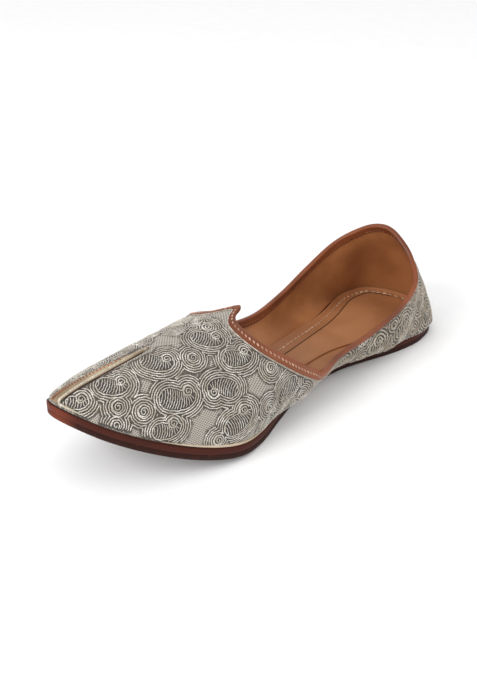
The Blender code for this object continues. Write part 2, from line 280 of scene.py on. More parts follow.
# Soft creases of the upper, each a trough between two places on one side
Crease = namedtuple("Crease", "side share_a rise_a share_b rise_b depth width")
CREASES = [Crease(*row) for row in (
    (1, 0.56, 0.25, 0.70, 0.80, 0.35 * MM, 5 * MM),
    (-1, 0.56, 0.30, 0.68, 0.75, 0.40 * MM, 5 * MM),
    (1, 0.64, 0.12, 0.80, 0.45, 0.25 * MM, 4 * MM),
    (-1, 0.30, 0.15, 0.22, 0.80, 0.35 * MM, 5 * MM),
    (1, 0.31, 0.15, 0.23, 0.75, 0.30 * MM, 4 * MM),
    (-1, 0.14, 0.20, 0.11, 0.75, 0.30 * MM, 5 * MM),
    (1, 0.06, 0.25, 0.05, 0.80, 0.30 * MM, 6 * MM),
)]


def heel_point():
    """Place where the last's measures start: the sole's hindmost point, on the middle line."""
    points = [vertex.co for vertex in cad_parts["outsole"].data.vertices]
    hindmost = min(points, key=lambda point: point.x)
    return hindmost - Vector((0, HEEL_SWING, 0))


HEEL = heel_point()


# The last: outline, sole line and the upper's surface

def catmull(rows, position):
    """Rows read at positions on a smooth curve through them."""
    start = np.clip(position.astype(int), 0, len(rows) - 4)
    part = (position - start)[..., None]
    before, first, second, after = (rows[start + step] for step in range(4))
    return 0.5 * (
        2 * first
        + (second - before) * part
        + (2 * before - 5 * first + 4 * second - after) * part ** 2
        + (3 * first - before - 3 * second + after) * part ** 3
    )


def mirrored_ends(rows, signs):
    """Rows with one mirrored row added at each end."""
    rows = np.array(rows, dtype=float)
    return np.vstack([rows[1] * signs, rows, rows[-2] * signs])


def lengths(vectors):
    return np.linalg.norm(vectors, axis=-1)


def run_along(points):
    """Length of a path up to each of its points."""
    return np.concatenate([[0], np.cumsum(lengths(np.diff(points, axis=0)))])


def half_outline():
    """Finely stepped half outline, its run as a share of the whole, and the whole run."""
    rows = [(row.along * LENGTH, row.out * BALL_WIDTH / 2) for row in OUTLINE]
    points = mirrored_ends(rows, np.array([1, -1]))
    curve = catmull(points, np.linspace(0, len(rows) - 1, OUTLINE_SAMPLES))
    run = run_along(curve)
    return curve, run / run[-1], run[-1]


HALF_CURVE, HALF_RUN, HALF_LENGTH = half_outline()
UPPER_ROWS = mirrored_ends(UPPER, np.array([1, 1, -1, 1, 1, -1, 1]))


def smooth_step(share, change):
    """Rise from 0 to 1 with soft ends over a range."""
    start, end = change
    part = np.clip((share - start) / (end - start), 0.0, 1.0)
    return part * part * (3 - 2 * part)


def curve_point(share):
    return np.stack([np.interp(share, HALF_RUN, HALF_CURVE[:, axis]) for axis in (0, 1)], axis=-1)


def at_end(share):
    return (share <= 0.0) | (share >= 1.0)


def outline_point(share, inset):
    """Along and out of the half outline at shares of its run, moved inward."""
    point = curve_point(share)
    ahead = curve_point(np.minimum(share + OUTLINE_PROBE, 1))
    run = ahead - curve_point(np.maximum(share - OUTLINE_PROBE, 0))
    run[..., 0] = np.where(at_end(share), 0.0, run[..., 0])
    run = unit(run)
    return point[..., 0] + inset * run[..., 1], point[..., 1] - inset * run[..., 0]


def sole_bottom(along):
    """Height of the sole's underside: flat heel, low arch, flat ball, raised toe."""
    share = along / LENGTH
    arch = np.clip((share - HEEL_FLAT_END) / (BALL_FLAT_START - HEEL_FLAT_END), 0.0, 1.0)
    toe = np.maximum((share - SPRING_START) / (1 - SPRING_START), 0.0)
    return ARCH_LIFT * np.sin(np.pi * arch) ** 2 + TOE_SPRING * toe ** 2


def swing(along):
    """Sideways curve of the shoe's middle line toward the inner side."""
    toe = np.maximum((along / LENGTH - SWING_START) / (1 - SWING_START), 0.0)
    return -TOE_SWING * toe ** 2


def heel_swing(along):
    """Sideways step of the sole's heel toward the outer side."""
    return HEEL_SWING * (1 - smooth_step(along / LENGTH, HEEL_SWING_FADE))


def place(along, out, up):
    """Points of the scene from places along the foot, off its middle line and up."""
    return np.stack([along + HEEL.x, out + swing(along) + HEEL.y, up], axis=-1)


def feather_inset(share):
    """Inset of the upper's lower edge: over the sole at the heel, inside it at the ball."""
    forward = smooth_step(share, FEATHER_CHANGE)
    return HEEL_FEATHER_INSET + (BALL_FEATHER_INSET - HEEL_FEATHER_INSET) * forward


def sole_gap(share):
    """Room between the sole and the upper's lower edge, wider at the toe."""
    return GAP + TOE_EXTRA_GAP * smooth_step(share, TOE_GAP_CHANGE)


def upper_point(share, side, rise):
    """Points on the outside of the upper, rise 0 at the feather and 1 at the opening."""
    share, side, rise = np.broadcast_arrays(share, side, rise)
    line = UpperLine(*np.moveaxis(catmull(UPPER_ROWS, share * (len(UPPER) - 1)), -1, 0))
    foot = np.where(at_end(share), share, np.clip(line.foot, 0.0, 1.0))
    foot_along, foot_out = outline_point(foot, feather_inset(foot))
    drop = HEEL_TILT * line.edge_out * (1 - smooth_step(share, HEEL_TILT_FADE))
    half_width = BALL_WIDTH / 2
    foot_up = sole_bottom(foot_along) + SOLE_THICKNESS + sole_gap(foot)
    start = np.stack([foot_along, foot_out + side * heel_swing(foot_along), foot_up])
    shoulder = np.stack([
        line.shoulder_along * LENGTH,
        line.shoulder_out * half_width,
        line.shoulder_up * INSTEP_HEIGHT,
    ])
    end = np.stack([
        line.edge_along * LENGTH,
        line.edge_out * half_width,
        line.edge_up * INSTEP_HEIGHT - side * drop,
    ])
    lower_pull = start + SHOULDER_PULL * (shoulder - start)
    upper_pull = end + SHOULDER_PULL * (shoulder - end)
    rest = 1 - rise
    along, out, up = (
        rest ** 3 * start
        + 3 * rest ** 2 * rise * lower_pull
        + 3 * rest * rise ** 2 * upper_pull
        + rise ** 3 * end
    )
    return place(along, side * out, up)


def unit(vectors):
    return vectors / lengths(vectors)[..., None]


def upper_frame(share, side, rise):
    """Points on the upper with the outward normal, the direction of rise and that to the toe."""
    share, side, rise = np.broadcast_arrays(share, side, rise)
    climb = (
        upper_point(share, side, np.minimum(rise + SURFACE_PROBE, 1))
        - upper_point(share, side, np.maximum(rise - SURFACE_PROBE, 0))
    )
    near = np.where(share >= 1, 1 - END_PROBE, END_PROBE)
    low = np.where(at_end(share), near, np.maximum(share - SURFACE_PROBE, 0))
    high = np.where(at_end(share), near, np.minimum(share + SURFACE_PROBE, 1))
    low_side = np.where(share <= 0, -side, side)
    high_side = np.where(share >= 1, -side, side)
    travel = upper_point(high, high_side, rise) - upper_point(low, low_side, rise)
    normal = unit(np.cross(climb, travel) * side[..., None])
    return upper_point(share, side, rise), normal, unit(climb), unit(travel)


def on_upper(share, side, rise, offset):
    """Points at an offset from the upper's outside, with the three directions there."""
    base, normal, climb, travel = upper_frame(share, side, rise)
    return base + normal * np.asarray(offset)[..., None], normal, climb, travel


def rise_at(share, side, above=None, below=None):
    """Rises of the points a distance above the feather edge or below the opening's edge."""
    rises = np.linspace(0, 1, LINE_SAMPLES)
    points = upper_point(share, side, rises[:, None])
    steps = lengths(np.diff(points, axis=0))
    runs = np.vstack([np.zeros(len(share)), np.cumsum(steps, axis=0)])
    wanted = np.broadcast_to(runs[-1] - below if above is None else above, share.shape)
    return np.array([np.interp(want, run, rises) for want, run in zip(wanted, runs.T)])


def loop_places(steps):
    """Shares and sides of a closed loop: outer side from heel to toe, then inner side back."""
    step = np.concatenate([np.arange(steps + 1), np.arange(steps - 1, 0, -1)])
    side = np.concatenate([np.ones(steps + 1), -np.ones(steps - 1)])
    share = step / steps - CROWDING * np.sin(2 * np.pi * step / steps) / (2 * np.pi)
    return np.clip(share, 0.0, 1.0), side


# Mesh helpers

def loft_faces(rows, count, closed):
    """Quads between neighbouring loops of equal length, the last joined to the first if closed."""
    row = np.arange(rows if closed else rows - 1)[:, None] * count
    step = np.arange(count)[None, :]
    above = (row + count) % (rows * count)
    following = (step + 1) % count
    corners = [row + step, above + step, above + following, row + following]
    return np.stack(np.broadcast_arrays(*corners), axis=-1).reshape(-1, 4)


def add_object(name, data):
    """New object in the scene."""
    made = bpy.data.objects.new(name, data)
    bpy.context.scene.collection.objects.link(made)
    return made


def new_piece(name, points, faces, materials):
    """Smooth mesh with the given materials, attached to the shoe's root."""
    mesh = bpy.data.meshes.new(name)
    corners = [list(map(int, face)) for face in faces]
    mesh.from_pydata(np.asarray(points).reshape(-1, 3).tolist(), [], corners)
    for material in materials:
        mesh.materials.append(material)
    mesh.shade_smooth()
    piece = add_object(name, mesh)
    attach(piece, "root")
    return piece


def give_values(piece, name, values):
    """Store one number for each point of a mesh, for its material to read."""
    attribute = piece.data.attributes.new(name, "FLOAT", "POINT")
    attribute.data.foreach_set("value", np.asarray(values, np.float32).ravel())


Tube = namedtuple("Tube", "points normals radius")


def level_tube(path, radius):
    """Cord along a path that lies flat."""
    return Tube(path, np.broadcast_to(UP, path.shape), radius)


def join_tubes(name, tubes, material, sides=6, stitch_length=ONE_STITCH):
    """One mesh of round threads or stitches, each closed at both ends."""
    angles = 2 * np.pi * np.arange(sides) / sides
    points, faces, twist, count = [], [], [], []
    first = 0
    for number, tube in enumerate(tubes):
        tangent = unit(np.gradient(tube.points, axis=0))
        beside = unit(np.cross(tangent, tube.normals))
        over = np.cross(beside, tangent)
        radius = np.broadcast_to(tube.radius, len(tube.points))[:, None, None]
        spokes = beside[:, None] * np.cos(angles)[:, None] + over[:, None] * np.sin(angles)[:, None]
        points.append((tube.points[:, None] + radius * spokes).reshape(-1, 3))
        rows = len(tube.points)
        faces += (loft_faces(rows, sides, False) + first).tolist()
        faces.append(list(range(first, first + sides)))
        faces.append(list(range(first + (rows - 1) * sides, first + rows * sides))[::-1])
        run = run_along(tube.points)
        twist.append((run[:, None] / TWIST_PITCH + np.arange(sides) / sides).ravel())
        # Each tube counts from a whole number of its own, so the stitches' shades differ
        count.append(np.repeat(3 * number + 0.5 + run / stitch_length, sides))
        first += rows * sides
    piece = new_piece(name, np.concatenate(points), faces, [material])
    give_values(piece, "twist", np.concatenate(twist))
    give_values(piece, "stitch", np.concatenate(count))


def stitch(centre, normal, direction, length, width):
    """Short raised stitch that dips at both ends."""
    reach = np.array([-0.5, -0.36, 0.0, 0.36, 0.5])
    dip = np.array([-0.45, -0.05, 0.1, -0.05, -0.45])
    swell = np.array([0.35, 0.85, 1.0, 0.85, 0.35])
    points = centre + np.outer(reach * length, direction) + np.outer(dip * width, normal)
    return Tube(points, np.broadcast_to(normal, points.shape), swell * width / 2)


def evenly(points, pitch):
    """Numbers of a path's points that lie about one pitch apart."""
    run = run_along(points)
    return np.unique(np.searchsorted(run, np.arange(pitch / 2, run[-1], pitch)))


# Material helpers

def srgb(red, green, blue):
    """Shader colour from the usual 0 to 255 values."""
    def linear(value):
        value /= 255
        return value / 12.92 if value <= 0.04045 else ((value + 0.055) / 1.055) ** 2.4
    return (linear(red), linear(green), linear(blue), 1.0)


def add_node(tree, kind, inputs, **settings):
    """New node; a socket among its inputs is linked, and any other value is set."""
    node = tree.nodes.new(kind)
    for key, value in settings.items():
        setattr(node, key, value)
    for key, value in inputs.items():
        if isinstance(value, bpy.types.NodeSocket):
            tree.links.new(value, node.inputs[key])
        else:
            node.inputs[key].default_value = value
    return node


def calculate(tree, operation, *values):
    return add_node(tree, "ShaderNodeMath", dict(enumerate(values)), operation=operation).outputs[0]


def scaled(tree, value, factor):
    return calculate(tree, "MULTIPLY", value, factor)


def soft_range(tree, value, low, high):
    """0 below low, 1 above high and smooth between; low may be the larger."""
    inputs = {"Value": value, "From Min": low, "From Max": high}
    return add_node(tree, "ShaderNodeMapRange", inputs, interpolation_type="SMOOTHSTEP").outputs[0]


def mix_colours(tree, share, first, second):
    inputs = {0: share, 6: first, 7: second}
    return add_node(tree, "ShaderNodeMix", inputs, data_type="RGBA").outputs[2]


def noise(tree, scale, detail, stretch=(1, 1, 1)):
    """Noise in the shoe's own space; scale is in cells per metre."""
    where = add_node(tree, "ShaderNodeTexCoord", {}).outputs["Object"]
    spread = add_node(tree, "ShaderNodeMapping", {"Vector": where, "Scale": stretch}).outputs[0]
    inputs = {"Vector": spread, "Scale": scale, "Detail": detail}
    return add_node(tree, "ShaderNodeTexNoise", inputs).outputs["Fac"]


def value_of(tree, name):
    """Number that the mesh stores at its points."""
    return add_node(tree, "ShaderNodeAttribute", {}, attribute_name=name).outputs["Fac"]


def bump(tree, height, distance):
    inputs = {"Height": height, "Distance": distance, "Strength": 1.0}
    return add_node(tree, "ShaderNodeBump", inputs).outputs[0]


def new_material(name, **sockets):
    """Material with its shader's own sockets set, and its node tree."""
    material = bpy.data.materials.new(name)
    material.use_nodes = True
    shader = material.node_tree.nodes["Principled BSDF"]
    for key, value in sockets.items():
        shader.inputs[key.replace("_", " ")].default_value = value
    return material, material.node_tree, shader


def set_look(tree, shader, colour, roughness, normal):
    tree.links.new(colour, shader.inputs["Base Color"])
    tree.links.new(roughness, shader.inputs["Roughness"])
    tree.links.new(normal, shader.inputs["Normal"])


# Materials

def leather(name, light, dark, grain, roughness, relief):
    """Smooth leather: cloudy dye, fine pores and creased grain."""
    coat = {"Coat_Weight": 0.03, "Coat_Roughness": 0.4}
    material, tree, shader = new_material(name, Specular_IOR_Level=0.3, **coat)
    clouds = noise(tree, 28, 3)
    fine = noise(tree, grain, 4)
    where = add_node(tree, "ShaderNodeTexCoord", {}).outputs["Object"]
    inputs = {"Vector": where, "Scale": grain * 0.8}
    cells = add_node(tree, "ShaderNodeTexVoronoi", inputs).outputs["Distance"]
    colour = mix_colours(tree, soft_range(tree, clouds, 0.3, 0.7), dark, light)
    pores = soft_range(tree, fine, 0.62, 0.8)
    colour = mix_colours(tree, scaled(tree, pores, 0.25), colour, dark)
    rough = calculate(tree, "MULTIPLY_ADD", fine, 0.18, roughness - 0.09)
    height = calculate(tree, "ADD", scaled(tree, cells, 0.6), fine)
    set_look(tree, shader, colour, rough, bump(tree, height, relief))
    return material


def brocade_cloth():
    """Woven ground with dark pores, darker where the motifs are worked."""
    material, tree, shader = new_material("brocade", Sheen_Weight=0.15, Sheen_Roughness=0.4)
    pale, dark = srgb(172, 165, 155), srgb(66, 60, 55)
    worked_light, worked_dark = srgb(62, 56, 51), srgb(48, 44, 41)
    turn = 2 * math.pi / WEAVE_PITCH
    across = calculate(tree, "COSINE", scaled(tree, value_of(tree, "weave_along"), turn))
    around = calculate(tree, "COSINE", scaled(tree, value_of(tree, "weave_across"), turn))
    lattice = calculate(tree, "MULTIPLY", across, around)
    pores = soft_range(tree, lattice, 0.05, 0.65)
    body = soft_range(tree, value_of(tree, "motif"), 0.4, -0.3)
    tint = soft_range(tree, noise(tree, 60, 3), 0.35, 0.65)
    ground = mix_colours(tree, pores, pale, dark)
    stitched = mix_colours(tree, body, worked_light, worked_dark)
    colour = mix_colours(tree, value_of(tree, "worked"), ground, stitched)
    colour = mix_colours(tree, scaled(tree, tint, 0.1), colour, srgb(150, 134, 116))
    fibres = noise(tree, 2600, 2)
    height = calculate(tree, "MULTIPLY_ADD", fibres, 0.35, scaled(tree, lattice, -0.5))
    rough = soft_range(tree, fibres, -0.6, 1.2)
    set_look(tree, shader, colour, rough, bump(tree, height, 0.35 * MM))
    return material


def thread(name, light, dark, roughness, metallic):
    """Twisted thread of two strands, each stitch a little lighter or darker than the next, with painted
    shade in the groove between the strands and in the necks between stitches.
    """
    material, tree, shader = new_material(name, Metallic=metallic, Sheen_Weight=0.1)
    strands = calculate(tree, "SINE", scaled(tree, value_of(tree, "twist"), 4 * math.pi))
    patches = soft_range(tree, noise(tree, 220, 2), 0.35, 0.7)
    colour = mix_colours(tree, patches, dark, light)
    # Darker in the groove between the two strands: painted shade.
    groove = soft_range(tree, strands, -0.4, -1.0)
    # Dark colour for the painted shade, also used for the randomly darker stitches.
    shade = tuple(0.35 * part for part in dark[:3]) + (1.0,)
    count = value_of(tree, "stitch")
    whole = calculate(tree, "FLOOR", count)
    one_number = {"noise_dimensions": "1D"}
    chance = add_node(tree, "ShaderNodeTexWhiteNoise", {"W": whole}, **one_number).outputs["Value"]
    # Darker at each stitch's ends: painted shade in the necks between stitches.
    ends = soft_range(tree, calculate(tree, "PINGPONG", count, 0.5), 0.16, 0.02)
    for share, weight in ((groove, 0.3), (chance, 0.52), (ends, 0.8)):
        colour = mix_colours(tree, scaled(tree, share, weight), colour, shade)
    rough = calculate(tree, "MULTIPLY_ADD", patches, 0.15, roughness - 0.07)
    set_look(tree, shader, colour, rough, bump(tree, strands, 0.06 * MM))
    return material


def sole_leather():
    """Stacked sole leather: reddish dressed band above, darker band below."""
    material, tree, shader = new_material("outsole leather", Specular_IOR_Level=0.12)
    grain = noise(tree, 240, 4, stretch=(1, 1, 6))
    clouds = soft_range(tree, noise(tree, 45, 3), 0.5, 0.7)
    red, brown, tan = srgb(68, 29, 21), srgb(44, 21, 15), srgb(102, 47, 31)
    colour = mix_colours(tree, soft_range(tree, value_of(tree, "level"), 3.2, 4.2), brown, red)
    colour = mix_colours(tree, soft_range(tree, grain, 0.55, 0.8), colour, srgb(82, 40, 28))
    # Lighter tan toward the toe tip.
    colour = mix_colours(tree, value_of(tree, "tip"), colour, tan)
    colour = mix_colours(tree, scaled(tree, clouds, 0.4), colour, brown)
    rough = calculate(tree, "MULTIPLY_ADD", grain, 0.3, 0.4)
    set_look(tree, shader, colour, rough, bump(tree, grain, 0.25 * MM))
    return material


# Embroidery: paisley motifs laid on the upper's surface

Patch = namedtuple(
    "Patch",
    "centre spine across normal spine_points widths curl_centre curl_radius length pitch",
)


def directions(angles):
    """Flat unit vectors at angles."""
    return np.stack([np.cos(angles), np.sin(angles)], axis=-1)


def spine_line(length, samples):
    """Middle line of a motif from its round end to its curled tip, with its headings, in mm."""
    part = np.linspace(0, 1, samples)
    heading = TIP_TURN * part ** TIP_TURN_POWER
    step = directions(heading) * length / (samples - 1)
    points = np.vstack([[0, 0], np.cumsum((step[1:] + step[:-1]) / 2, axis=0)])
    return part, points - np.array([length * MOTIF_CENTRE, 0]), heading


def body_width(length, part):
    """Half width of a motif's body at parts of its length."""
    return BODY_WIDTH_SHARE * length * (1 - part ** 2)


def make_patch(row, side):
    """Flat frame of one motif or scroll on one side of the upper."""
    centre, normal, climb, travel = upper_frame(row.share, side, row.rise)
    travel = unit(travel - climb * np.dot(travel, climb))
    pitch = VAMP_PITCH if row.share > SIDE_SEAM else QUARTER_PITCH
    if isinstance(row, Scroll):
        middle = np.zeros((1, 2))
        return Patch(centre, climb, travel, normal, middle, row.radius, middle[0], row.radius, 0, pitch)
    turn = math.radians(row.turn)
    spine = math.cos(turn) * climb + math.sin(turn) * travel
    across = math.cos(turn) * travel - math.sin(turn) * climb
    part, points, heading = spine_line(row.length, SPINE_SAMPLES)
    widths = body_width(row.length, part)
    curl = CURL_IN_PITCHES * pitch
    curl_centre = points[-1] + curl * directions(heading[-1] + np.pi / 2)
    return Patch(centre, spine, across, normal, points, widths, curl_centre, curl, row.length, pitch)


def to_flat(patch, points):
    """Places of points in a motif's own flat frame, in mm, true to their distance."""
    offset = points - patch.centre
    flat = np.stack([offset @ patch.spine, offset @ patch.across], axis=1)
    stretch = lengths(offset) / np.maximum(lengths(flat), TINY)
    return flat * np.minimum(stretch, MOST_STRETCH)[:, None] / MM


def motif_field(patch, points):
    """Distance of points from a motif's outline in mm, negative inside."""
    flat = to_flat(patch, points)
    body = lengths(flat[:, None] - patch.spine_points) - patch.widths
    curl = lengths(flat - patch.curl_centre) - patch.curl_radius
    return np.minimum(body.min(axis=1), curl)


def nearest_field(patches, points, normals, owners=None):
    """Distance to the nearest motif that isn't a point's own."""
    field = np.full(len(points), FIELD_LIMIT)
    for number, patch in enumerate(patches):
        close = lengths(points - patch.centre) < MOTIF_REACH
        close &= normals @ patch.normal > 0
        if owners is not None:
            close &= owners != number
        if close.any():
            field[close] = np.minimum(field[close], motif_field(patch, points[close]))
    return field


def body_outline(patch, offset):
    """Outline of a motif's body, moved outward, from one side of its tip to the other."""
    part, points, heading = spine_line(patch.length, BODY_SAMPLES)
    radius = body_width(patch.length, part) + offset
    slope = -2 * BODY_WIDTH_SHARE * part
    lean = -(radius * slope)[:, None] * directions(heading)
    spread = (radius * np.sqrt(1 - slope ** 2))[:, None] * directions(heading + np.pi / 2)
    angles = np.linspace(0.5, 1.5, ROUND_END_SAMPLES)[1:-1] * np.pi
    round_end = points[0] + radius[0] * directions(angles)
    return np.vstack([(points + lean + spread)[::-1], round_end, points + lean - spread])


def circle(centre, radius):
    angles = np.linspace(0, 2 * np.pi, 2 * int(8 + 5 * radius))
    return centre + radius * directions(angles)


def spiral(patch):
    """Curl from the rim of its disc to the middle."""
    turns = (patch.curl_radius - CURL_EYE) / patch.pitch
    angles = np.linspace(0, 2 * np.pi * turns, int(CURL_SAMPLES * turns))
    radius = patch.curl_radius - patch.pitch * angles / (2 * np.pi)
    return patch.curl_centre + radius[:, None] * directions(angles)


def rungs(patch):
    """Ladder lines across a motif's body, bowed toward its tip."""
    part, points, heading = spine_line(patch.length, RUNG_SAMPLES)
    width = body_width(patch.length, 0)
    lines = []
    for run in np.arange(-RUNG_START * width, RUNG_END * patch.length, patch.pitch):
        number = int(round(max(run, 0) / patch.length * (RUNG_SAMPLES - 1)))
        ahead, aside = directions(heading[number] + np.array([0, np.pi / 2]))
        half = body_width(patch.length, part[number]) if run > 0 else math.sqrt(width ** 2 - run ** 2)
        half -= RUNG_MARGIN
        if half < SHORTEST_RUNG:
            continue
        reach = np.linspace(-1, 1, 2 * int(3 + half) + 1)
        bow = RUNG_BOW * half * (1 - reach ** 2)
        middle = points[number] + ahead * min(run, 0)
        lines.append(middle + np.outer(reach * half, aside) + np.outer(bow, ahead))
    return lines


def surface_tree():
    """Search tree of the upper's outside, with the share, side and rise of its faces."""
    share, side = loop_places(SEARCH_STEPS)
    rises = np.linspace(0, 1, LINE_SAMPLES)
    points = upper_point(share, side, rises[:, None])
    faces = loft_faces(len(rises), len(share), False)
    tree = BVHTree.FromPolygons(points.reshape(-1, 3).tolist(), faces.tolist())
    return tree, share, side, rises


def lay_down(tree, patch, flat):
    """Flat places of a motif brought down to the upper: points, normals and faces."""
    guess = flat.copy()
    wanted = lengths(flat)
    for attempt in range(2):
        starts = patch.centre + MM * (guess[:, :1] * patch.spine + guess[:, 1:] * patch.across)
        found = [tree.find_nearest(Vector(start)) for start in starts]
        points, normals, faces = (np.array([hit[item] for hit in found]) for item in range(3))
        reached = lengths(to_flat(patch, points))
        guess = guess * (wanted / np.maximum(reached, TINY))[:, None]
    return points, normals, faces


def motif_lines(patch):
    """Flat thread lines of a motif, each with how far it lies outside the outline."""
    lines = []
    for offset in np.arange(0, RING_REACH, patch.pitch):
        if patch.length:
            lines.append((body_outline(patch, offset), offset))
        lines.append((circle(patch.curl_centre, patch.curl_radius + offset), offset))
    lines.append((spiral(patch), CURL_OFFSET))
    if patch.length:
        lines += [(line, RUNG_OFFSET) for line in rungs(patch)]
    return lines


def wobble(flat):
    """Lines with the small unevenness of handwork."""
    along, across = flat.T
    waves = [np.sin(1.3 * along + 2.1 * across), np.sin(1.7 * along - 1.1 * across)]
    return flat + WOBBLE * np.stack(waves, axis=1)


def cloth_limits(share, side):
    """Lowest and highest rise of the cloth that shows on each section line."""
    low = rise_at(share, side, above=ROOM_AT_FEATHER)
    high = rise_at(share, side, below=binding_depth(share, False) + ROOM_AT_BINDING)
    return low, high


def away_from_seam(points):
    """Which points lie clear of the strip along the toe's middle."""
    middle = upper_point(1.0, 1, np.linspace(SEAM_START, SEAM_END, SEAM_SAMPLES))
    distance = lengths(points[:, None] - middle).min(axis=1)
    return distance > SEAM_HALF_WIDTH + ROOM_AT_TOE_SEAM


def motif_relief(field):
    """Height of the padded motif bodies above the ground cloth."""
    return PADDING * (1 - smooth_step(field, PADDING_FADE))


def embroidery_tubes(patches, vamp):
    """Threads of all motifs on the vamp, or on the quarters, cut where another motif is nearer."""
    tree, share, side, rises = surface_tree()
    low, high = cloth_limits(share, side)
    lines = []
    for number, patch in enumerate(patches):
        for flat, offset in motif_lines(patch):
            found = lay_down(tree, patch, wobble(flat))
            lines.append((*found, np.full(len(flat), number), np.full(len(flat), offset)))
    points, normals, faces, owner, offset = (np.concatenate(column) for column in zip(*lines))
    own = np.zeros(len(points))
    for number, patch in enumerate(patches):
        mine = owner == number
        own[mine] = motif_field(patch, points[mine])
    other = nearest_field(patches, points, normals, owner)
    inner = offset < 0
    step, row = faces % len(share), faces // len(share)
    rise = rises[row] + 0.5 / (len(rises) - 1)
    keep = (rise > low[step]) & (rise < high[step]) & away_from_seam(points)
    keep &= np.where(inner, other > 0, (other > offset - OTHER_MARGIN) & (own > offset - OWN_MARGIN))
    beyond_seam = share[step] - SIDE_SEAM
    keep &= (beyond_seam if vamp else -beyond_seam) > ROOM_AT_SIDE_SEAM
    lift = motif_relief(np.where(inner, -1, offset)) + THREAD_LIFT
    laid = points + normals * lift[:, None]
    ends = np.cumsum([len(line[0]) for line in lines])
    radius = np.where(offset == RUNG_OFFSET, RUNG_IN_PITCHES, THREAD_IN_PITCHES) * patches[0].pitch * MM
    return cut_tubes(laid, normals, keep, ends, radius)


def cut_tubes(points, normals, keep, ends, radius):
    """Tubes along each line's unbroken stretches."""
    tubes = []
    start = 0
    for end in ends:
        kept = np.flatnonzero(keep[start:end]) + start
        for stretch in np.split(kept, np.flatnonzero(np.diff(kept) > 1) + 1):
            if len(stretch) > 2:
                tubes.append(Tube(points[stretch], normals[stretch], radius[stretch]))
        start = end
    return tubes


def make_patches():
    """Frames of all motifs and scrolls, those of the vamp and those of the quarters."""
    vamp, quarters = [], []
    for row in MOTIFS + SCROLLS:
        for side in (1, -1):
            (vamp if row.share > SIDE_SEAM else quarters).append(make_patch(row, side))
    return vamp, quarters


# Pieces

def crease_depth(points, side):
    """Depth of the soft creases at points of the upper."""
    depth = np.zeros(len(points))
    part = np.linspace(0, 1, CREASE_SAMPLES)
    for crease in CREASES:
        shares = crease.share_a + (crease.share_b - crease.share_a) * part
        rises = crease.rise_a + (crease.rise_b - crease.rise_a) * part
        line = upper_point(shares, crease.side, rises)
        distance = lengths(points[:, None] - line)
        fade = np.sin(np.pi * part[distance.argmin(axis=1)]) ** 0.5
        trough = np.exp(-(distance.min(axis=1) / crease.width) ** 2)
        depth += np.where(side == crease.side, crease.depth * trough * fade, 0.0)
    return depth


def weave_places(share, side, points):
    """Places of the cloth's threads in mm, along and across: round the vamp, along the quarters."""
    along = points[:, 0] - HEEL.x
    out = points[:, 1] - HEEL.y - swing(along)
    half_width = WEAVE_CROWN + np.interp(along, HALF_CURVE[:, 0], HALF_CURVE[:, 1])
    height = points[:, 2] - sole_bottom(along) - SOLE_THICKNESS
    vamp_across = np.arctan2(out, height) * half_width
    run = share * HALF_LENGTH * side
    vamp = share > SIDE_SEAM
    scale = np.where(vamp, 1, VAMP_PITCH / QUARTER_PITCH) / MM
    return np.where(vamp, along, run) * scale, np.where(vamp, vamp_across, points[:, 2]) * scale


def thread_cover(points, tubes):
    """How much of the cloth is worked over with threads: 1 among them, 0 clear of them."""
    places = np.concatenate([tube.points for tube in tubes])
    tree = KDTree(len(places))
    for number, spot in enumerate(places.tolist()):
        tree.insert(spot, number)
    tree.balance()
    distance = np.array([tree.find(point)[2] for point in points.tolist()])
    return 1 - smooth_step(distance, COVER_FADE)


def make_upper(patches, tubes):
    """Brocade outside and leather lining inside, one closed wall with padded motifs."""
    share, side = loop_places(UPPER_STEPS)
    rises = np.linspace(0, 1, UPPER_RISES)[:, None]
    inner_rises = np.linspace(1, 0, LINING_RISES)[:, None]
    outside, normals = (made.reshape(-1, 3) for made in upper_frame(share, side, rises)[:2])
    inside = on_upper(share, side, inner_rises, -WALL)[0].reshape(-1, 3)
    count = len(share)
    all_share, all_side = np.tile(share, UPPER_RISES), np.tile(side, UPPER_RISES)
    all_rise = np.repeat(rises, count)
    field = nearest_field(patches, outside, normals)
    edge_fade = smooth_step(all_rise, RELIEF_START) * (1 - smooth_step(all_rise, RELIEF_END))
    relief = (motif_relief(field) - crease_depth(outside, all_side)) * edge_fade
    points = np.concatenate([outside + normals * relief[:, None], inside])
    faces = loft_faces(UPPER_RISES + LINING_RISES, count, True)
    cloth = brocade_cloth()
    lining = leather("lining leather", srgb(172, 114, 70), srgb(142, 88, 52), 900, 0.52, 0.05 * MM)
    upper = new_piece("upper_brocade", points, faces, [cloth, lining])
    inner_face = np.arange(len(faces)) >= (UPPER_RISES - 1) * count
    upper.data.polygons.foreach_set("material_index", inner_face.astype(np.int32))
    weave_along, weave_across = weave_places(all_share, all_side, outside)
    stored = {
        "motif": field,
        "worked": thread_cover(outside, tubes),
        "weave_along": weave_along,
        "weave_across": weave_across,
    }
    for name, values in stored.items():
        # The lining reads none of these values
        give_values(upper, name, np.concatenate([values, np.zeros(len(inside))]))
    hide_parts("upper")


def make_embroidery(vamp_tubes, quarter_tubes):
    silver = thread("silver thread", srgb(255, 250, 240), srgb(206, 196, 180), 0.42, 0.2)
    dull = thread("dull silver thread", srgb(228, 216, 200), srgb(180, 166, 146), 0.45, 0.2)
    join_tubes("vamp_threads", vamp_tubes, silver, 5, STITCH_LENGTH)
    join_tubes("quarter_threads", quarter_tubes, dull, 5, STITCH_LENGTH)


